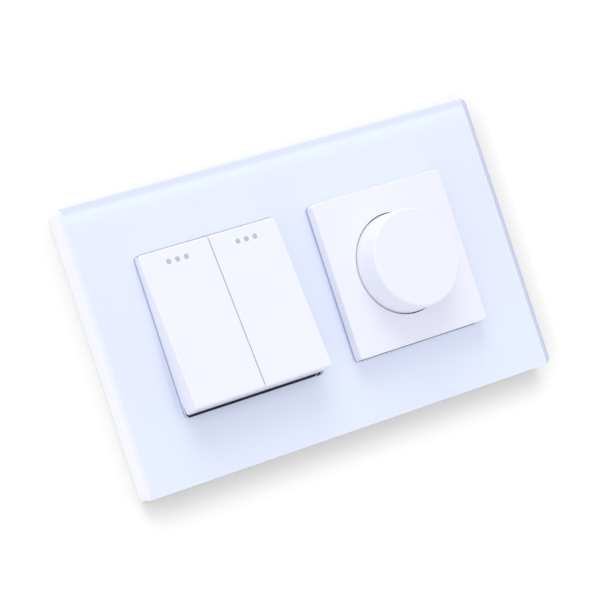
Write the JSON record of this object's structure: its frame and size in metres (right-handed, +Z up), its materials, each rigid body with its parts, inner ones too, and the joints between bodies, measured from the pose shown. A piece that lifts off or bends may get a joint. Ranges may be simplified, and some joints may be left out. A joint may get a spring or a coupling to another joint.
{
  "type": "light switch with dimmer",
  "caption": "Glass-fronted wall plate with rocker keys side by side and a round rotary dimmer knob, on a steel bracket with the mechanisms in housings behind.",
  "frame": {"origin": "middle of the plate on the wall surface, between the two fixing screws", "axes": "+X along the plate to the right as seen from the room, +Y into the wall, +Z up"},
  "size_m": [0.146, 0.0465, 0.086],
  "materials": {
    "clear_glass": "clear, polished, with rounded long edges",
    "white_film": "smooth pale blue-white back coat",
    "tape": "matt double-sided foam",
    "frame_plastic": "fine matt moulded white",
    "key_plastic": "smooth satin white",
    "dot_inlay": "grey-green inlay, flush",
    "dark_plastic": "matt dark grey moulded",
    "housing_plastic": "matt light grey moulded",
    "carrier_plastic": "matt natural grey",
    "zinc_steel": "zinc-plated sheet",
    "steel_parts": "nickel-plated",
    "brass_parts": "plain brass strip",
    "silver_contacts": "silver-faced rivets",
    "phenolic": "brown laminate",
    "board_laminate": "green solder mask",
    "resistor_body": "beige lacquer",
    "black_epoxy": "moulded black",
    "sink_aluminium": "plain sheet",
    "ferrite": "dark grey ferrite",
    "copper_wire": "enamelled copper",
    "capacitor_case": "red-brown dipped case",
    "fuse_glass": "clear tube"
  },
  "bodies": {
    "plate": {"glass_panel": "clear_glass", "glass_back_film": "white_film", "bonding_tape": "tape", "base_frame": "frame_plastic", "mounting_bracket": "zinc_steel", "switch_frame": "dark_plastic", "switch_housing": "housing_plastic", "switch_terminals": "brass_parts", "switch_terminal_screws": "steel_parts", "dimmer_frame": "dark_plastic", "dimmer_housing": "housing_plastic", "dimmer_terminals": "brass_parts", "dimmer_terminal_screws": "steel_parts", "dimmer_cover": "key_plastic", "potentiometer_bushing": "steel_parts", "potentiometer_case": "steel_parts", "resistive_track": "phenolic", "potentiometer_washer": "steel_parts", "potentiometer_nut": "steel_parts", "circuit_board": "board_laminate", "board_screws": "steel_parts", "board_resistors": "resistor_body", "triac": "black_epoxy", "heat_sink": "sink_aluminium", "triac_screw": "steel_parts", "choke_core": "ferrite", "choke_winding": "copper_wire", "film_capacitor": "capacitor_case", "fuse_tube": "fuse_glass", "fuse_caps": "steel_parts", "fuse_clips": "brass_parts", "fixed_contacts_left": "brass_parts", "common_contact_left": "brass_parts", "fixed_contacts_right": "brass_parts", "common_contact_right": "brass_parts"},
    "left_key": {"rocker_left": "key_plastic", "rocker_dots_left": "dot_inlay", "rocker_carrier_left": "carrier_plastic", "plunger_left": "carrier_plastic", "plunger_spring_left": "steel_parts"},
    "right_key": {"rocker_right": "key_plastic", "rocker_dots_right": "dot_inlay", "rocker_carrier_right": "carrier_plastic", "plunger_right": "carrier_plastic", "plunger_spring_right": "steel_parts"},
    "left_contact": {"contact_lever_left": "brass_parts", "lever_rivets_left": "silver_contacts"},
    "right_contact": {"contact_lever_right": "brass_parts", "lever_rivets_right": "silver_contacts"},
    "knob": {"dimmer_knob": "key_plastic", "potentiometer_shaft": "steel_parts", "potentiometer_wiper": "brass_parts"}
  },
  "joints": [
    {"name": "left_key_rock", "type": "hinge", "parent": "plate", "child": "left_key", "pos_m": [-0.04215, -0.0062, 0], "axis": [1, 0, 0], "range_deg": [0, 13]},
    {"name": "right_key_rock", "type": "hinge", "parent": "plate", "child": "right_key", "pos_m": [-0.01815, -0.0062, 0], "axis": [1, 0, 0], "range_deg": [0, 13]},
    {"name": "left_contact_tilt", "type": "hinge", "parent": "plate", "child": "left_contact", "pos_m": [-0.04215, 0.00869, 0], "axis": [1, 0, 0], "range_deg": [-15.6, 0]},
    {"name": "right_contact_tilt", "type": "hinge", "parent": "plate", "child": "right_contact", "pos_m": [-0.01815, 0.00869, 0], "axis": [1, 0, 0], "range_deg": [-15.6, 0]},
    {"name": "knob_turn", "type": "hinge", "parent": "plate", "child": "knob", "pos_m": [0.03015, -0.0175, 0], "axis": [0, 1, 0], "range_deg": [0, 300]}
  ],
  "couplings": [
    {"joint": "left_contact_tilt", "follows": "left_key_rock", "ratio": -1.2},
    {"joint": "right_contact_tilt", "follows": "right_key_rock", "ratio": -1.2}
  ]
}
